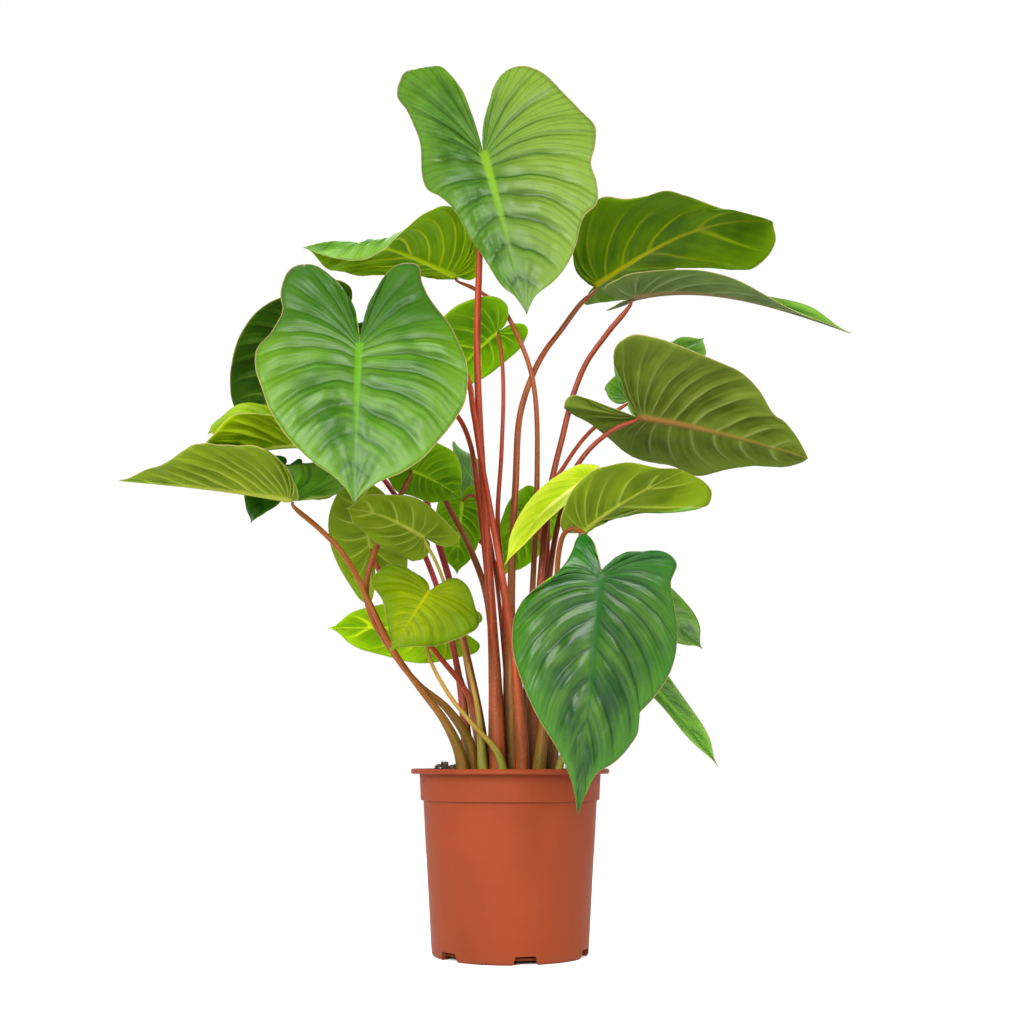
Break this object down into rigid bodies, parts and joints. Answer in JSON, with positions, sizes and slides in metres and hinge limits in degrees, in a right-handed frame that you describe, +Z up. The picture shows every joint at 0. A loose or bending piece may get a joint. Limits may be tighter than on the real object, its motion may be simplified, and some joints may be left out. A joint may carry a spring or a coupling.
{
  "type": "potted maggy homalomena",
  "caption": "Leafy foliage plant with broad heart-shaped green leaves on long reddish stalks, in a round terracotta-coloured nursery pot",
  "frame": {"origin": "centre of the plant's bounding box in X and Y, on the plane that the pot's foot ring stands on; the pot's axis is at X = +22 mm, Y = +1 mm", "axes": "+X to the viewer's right in the picture, +Y away from the viewer, +Z up along the pot's axis"},
  "size_m": [0.8122, 0.4132, 1.0257],
  "materials": {
    "pot_plastic": "matt, thin moulded, terracotta-coloured",
    "soil": "loose dark potting mix of bark and fibre",
    "petiole_red": "smooth, red-brown to orange, greenish at the sheaths",
    "blade_green": "glossy upper face, duller underside with raised pale veins",
    "blade_deep": "glossy dark green",
    "blade_bright": "glossy yellow-green",
    "blade_olive": "satin underside with raised pale veins"
  },
  "bodies": {
    "root": {"leaf_crown": "blade_green", "leaf_front_left": "blade_green", "leaf_high_left": "blade_olive", "leaf_middle_back": "blade_green", "leaf_high_right": "blade_green", "leaf_far_right": "blade_green", "leaf_broad_right": "blade_green", "leaf_right_back": "blade_green", "leaf_olive_right": "blade_olive", "leaf_young": "blade_bright", "leaf_low_front": "blade_deep", "leaf_low_right": "blade_green", "leaf_slender_right": "blade_green", "leaf_left_wing": "blade_green", "leaf_left_dark": "blade_deep", "leaf_left_upper_wing": "blade_green", "leaf_left_bright": "blade_bright", "leaf_left_back": "blade_green", "leaf_hanging_left": "blade_olive", "leaf_cupped_left": "blade_olive", "leaf_spotted": "blade_bright", "leaf_low_left": "blade_olive", "leaf_back_high": "blade_green", "leaf_centre_left": "blade_green", "leaf_back_low": "blade_green", "leaf_back_centre": "blade_green", "petiole_crown": "petiole_red", "petiole_front_left": "petiole_red", "petiole_high_left": "petiole_red", "petiole_middle_back": "petiole_red", "petiole_high_right": "petiole_red", "petiole_far_right": "petiole_red", "petiole_broad_right": "petiole_red", "petiole_right_back": "petiole_red", "petiole_olive_right": "petiole_red", "petiole_young": "petiole_red", "petiole_low_front": "petiole_red", "petiole_low_right": "petiole_red", "petiole_slender_right": "petiole_red", "petiole_left_wing": "petiole_red", "petiole_left_dark": "petiole_red", "petiole_left_upper_wing": "petiole_red", "petiole_left_bright": "petiole_red", "petiole_left_back": "petiole_red", "petiole_hanging_left": "petiole_red", "petiole_cupped_left": "petiole_red", "petiole_spotted": "petiole_red", "petiole_low_left": "petiole_red", "petiole_back_high": "petiole_red", "petiole_centre_left": "petiole_red", "petiole_back_low": "petiole_red", "petiole_back_centre": "petiole_red", "soil": "soil", "pot": "pot_plastic"}
  },
  "joints": []
}
